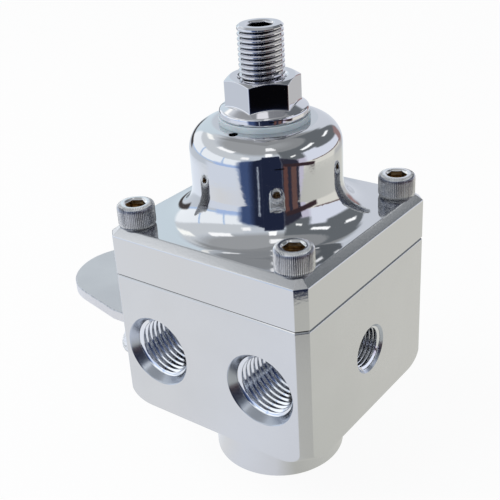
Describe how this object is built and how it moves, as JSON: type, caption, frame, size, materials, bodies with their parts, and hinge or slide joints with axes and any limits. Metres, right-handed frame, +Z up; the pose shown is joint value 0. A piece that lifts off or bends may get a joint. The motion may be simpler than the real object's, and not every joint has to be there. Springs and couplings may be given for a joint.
{
  "type": "fuel pressure regulator",
  "caption": "Square billet fuel pressure regulator with a polished domed bonnet, an adjusting screw with a flange nut, threaded ports and a mounting bracket.",
  "frame": {"origin": "centre of the inlet's mouth, on the flat bottom face of the boss", "axes": "+Z up the valve and adjusting screw axis, -Y out of the outlets, +X out of the gauge port, -X towards the bracket"},
  "size_m": [0.0851, 0.0508, 0.1027],
  "materials": {
    "satin_aluminium": "satin machined",
    "polished_aluminium": "mirror polished",
    "bracket_aluminium": "satin blasted",
    "chrome_plate": "bright chrome",
    "bright_steel": "bright, knurled heads",
    "spring_steel": "oiled",
    "plated_steel": "zinc plated",
    "nylon": "matte",
    "brass": "turned",
    "nitrile": "matte"
  },
  "bodies": {
    "housing": {"body": "satin_aluminium", "bonnet": "polished_aluminium", "cap_screws": "bright_steel", "bracket": "bracket_aluminium", "bracket_screws": "bright_steel", "bracket_lock_washers": "plated_steel", "valve_seat": "brass", "valve_seat_o_ring": "nitrile", "spring_retainer": "brass", "diaphragm": "nitrile", "poppet_spring": "spring_steel"},
    "spring_seat": {"upper_spring_seat": "plated_steel"},
    "adjuster": {"adjusting_screw": "chrome_plate"},
    "washer": {"sealing_washer": "nylon"},
    "locknut": {"jam_nut": "chrome_plate"},
    "diaphragm_stack": {"diaphragm_upper_plate": "plated_steel", "diaphragm_lower_plate": "plated_steel", "diaphragm_stem": "plated_steel", "stem_washer": "plated_steel", "stem_nut": "plated_steel", "main_spring": "spring_steel"},
    "valve": {"poppet": "brass", "poppet_seal": "nitrile"}
  },
  "joints": [
    {"name": "seat_slide", "type": "slide", "parent": "housing", "child": "spring_seat", "axis": [0, 0, 1], "range_m": [-0.00423, 0.00211], "deforming": ["main_spring"]},
    {"name": "screw_turn", "type": "hinge", "parent": "spring_seat", "child": "adjuster", "pos_m": [0, 0, 0.09], "axis": [0, 0, 1], "range_deg": [-1440, 720]},
    {"name": "washer_slide", "type": "slide", "parent": "housing", "child": "washer", "axis": [0, 0, 1], "range_m": [0, 0.00317]},
    {"name": "locknut_turn", "type": "hinge", "parent": "washer", "child": "locknut", "pos_m": [0, 0, 0.088], "axis": [0, 0, 1], "range_deg": [0, 1080]},
    {"name": "diaphragm_slide", "type": "slide", "parent": "housing", "child": "diaphragm_stack", "axis": [0, 0, 1], "range_m": [0, 0.0012], "stiffness_N_per_m": 3000, "springref_m": -0.001, "deforming": ["diaphragm", "main_spring"]},
    {"name": "poppet_slide", "type": "slide", "parent": "housing", "child": "valve", "axis": [0, 0, 1], "range_m": [0, 0.0012], "deforming": ["poppet_spring"]}
  ],
  "couplings": [
    {"joint": "screw_turn", "follows": "seat_slide", "rad_per_m": 5937.1},
    {"joint": "locknut_turn", "follows": "washer_slide", "rad_per_m": 5937.1},
    {"joint": "poppet_slide", "follows": "diaphragm_slide", "ratio": 1}
  ]
}
